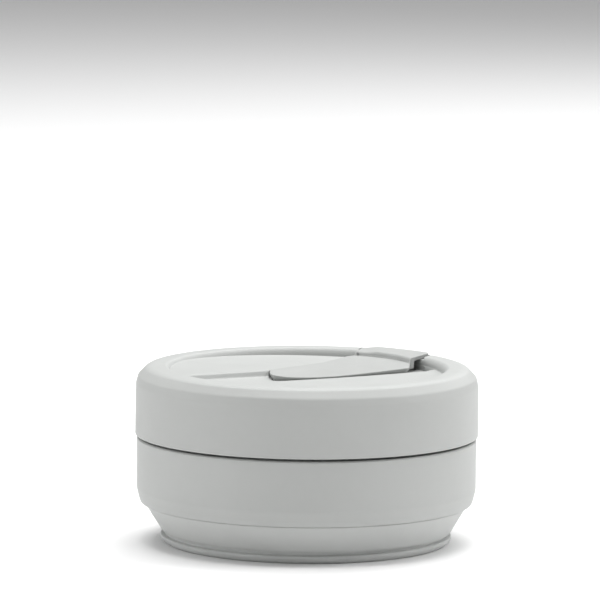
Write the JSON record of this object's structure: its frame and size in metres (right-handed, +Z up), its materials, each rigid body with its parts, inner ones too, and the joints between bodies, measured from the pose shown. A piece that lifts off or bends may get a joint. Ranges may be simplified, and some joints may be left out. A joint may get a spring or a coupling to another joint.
{
  "type": "collapsible travel cup",
  "caption": "Collapsible silicone travel cup, folded flat, with a grip sleeve, a screw lid and a flip-up drink stopper with a pull tab.",
  "frame": {"origin": "on the cup's axis, in the plane it stands on", "axes": "+Z up along the cup's axis; -Y is the front; the drink stopper lies towards +X +Y"},
  "size_m": [0.097, 0.097, 0.0503],
  "materials": {
    "silicone": "matte light grey silicone",
    "polypropylene": "satin light grey moulded plastic",
    "seal": "translucent white silicone"
  },
  "bodies": {
    "base_tier": {"cup_base": "silicone", "fold_web_lower": "silicone"},
    "middle_tier": {"cup_middle": "silicone", "fold_web_upper": "silicone"},
    "upper_tier": {"cup_upper": "silicone", "grip_sleeve": "polypropylene"},
    "seal": {"lid_seal": "seal"},
    "lid": {"lid_shell": "polypropylene", "stopper_anchor": "silicone"},
    "stopper": {"stopper_flap": "silicone"}
  },
  "joints": [
    {"name": "fold_lower", "type": "slide", "parent": "base_tier", "child": "middle_tier", "axis": [0, 0, 1], "range_m": [0, 0.038], "deforming": ["fold_web_lower"]},
    {"name": "fold_upper", "type": "slide", "parent": "middle_tier", "child": "upper_tier", "axis": [0, 0, 1], "range_m": [0, 0.038], "deforming": ["fold_web_upper"]},
    {"name": "lid_lift", "type": "slide", "parent": "upper_tier", "child": "seal", "axis": [0, 0, 1], "range_m": [0, 0.0141]},
    {"name": "lid_turn", "type": "hinge", "parent": "seal", "child": "lid", "pos_m": [0, 0, 0.0445], "axis": [0, 0, 1], "range_deg": [0, 360]},
    {"name": "stopper_flip", "type": "hinge", "parent": "lid", "child": "stopper", "pos_m": [-0.00154, -0.00079, 0.0484], "axis": [0.682, -0.7314, 0], "range_deg": [0, 150]}
  ],
  "couplings": [
    {"joint": "lid_lift", "follows": "lid_turn", "m_per_rad": 0.0022282}
  ]
}
